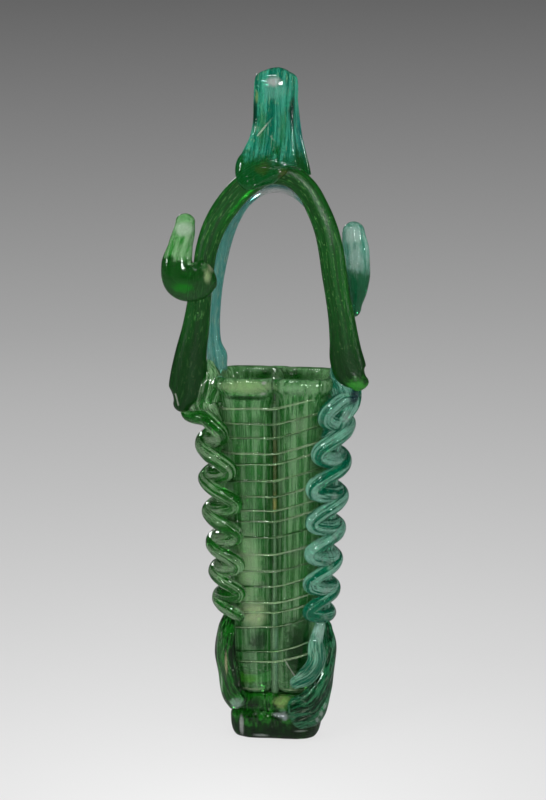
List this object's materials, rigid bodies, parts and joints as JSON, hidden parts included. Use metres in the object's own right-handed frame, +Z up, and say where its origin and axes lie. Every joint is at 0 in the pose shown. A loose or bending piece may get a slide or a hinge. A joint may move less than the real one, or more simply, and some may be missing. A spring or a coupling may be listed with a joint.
{
  "type": "double kohl tube",
  "caption": "Double glass cosmetic tube with a wound thread, looped side trails, an arched basket handle under a folded finial and a flat foot.",
  "frame": {"origin": "middle of the flat underside of the foot, on the seam between the two tubes", "axes": "+Z up along the tubes to the finial, +X across the pair of tubes to the right as seen from the front, -Y towards the front, where the broad green arch is"},
  "size_m": [0.0669, 0.0275, 0.2222],
  "materials": {
    "body_glass": "clear mid green glass, fire-polished, with bubbles and fine streaks",
    "green_trail_glass": "clear green glass, glossy",
    "teal_trail_glass": "clear teal-green glass, glossy",
    "deep_green_glass": "thick deep green glass, glossy",
    "blue_teal_glass": "blue-green glass with streaks, glossy"
  },
  "bodies": {
    "root": {"left_tube": "body_glass", "right_tube": "body_glass", "body_thread": "body_glass", "left_side_trail": "green_trail_glass", "right_side_trail": "teal_trail_glass", "front_handle": "deep_green_glass", "back_handle": "blue_teal_glass", "finial": "blue_teal_glass", "left_lug": "green_trail_glass", "right_lug": "teal_trail_glass", "lower_left_strand": "deep_green_glass", "lower_right_strand": "deep_green_glass", "teal_swirl": "blue_teal_glass", "foot_pad": "deep_green_glass"}
  },
  "joints": []
}
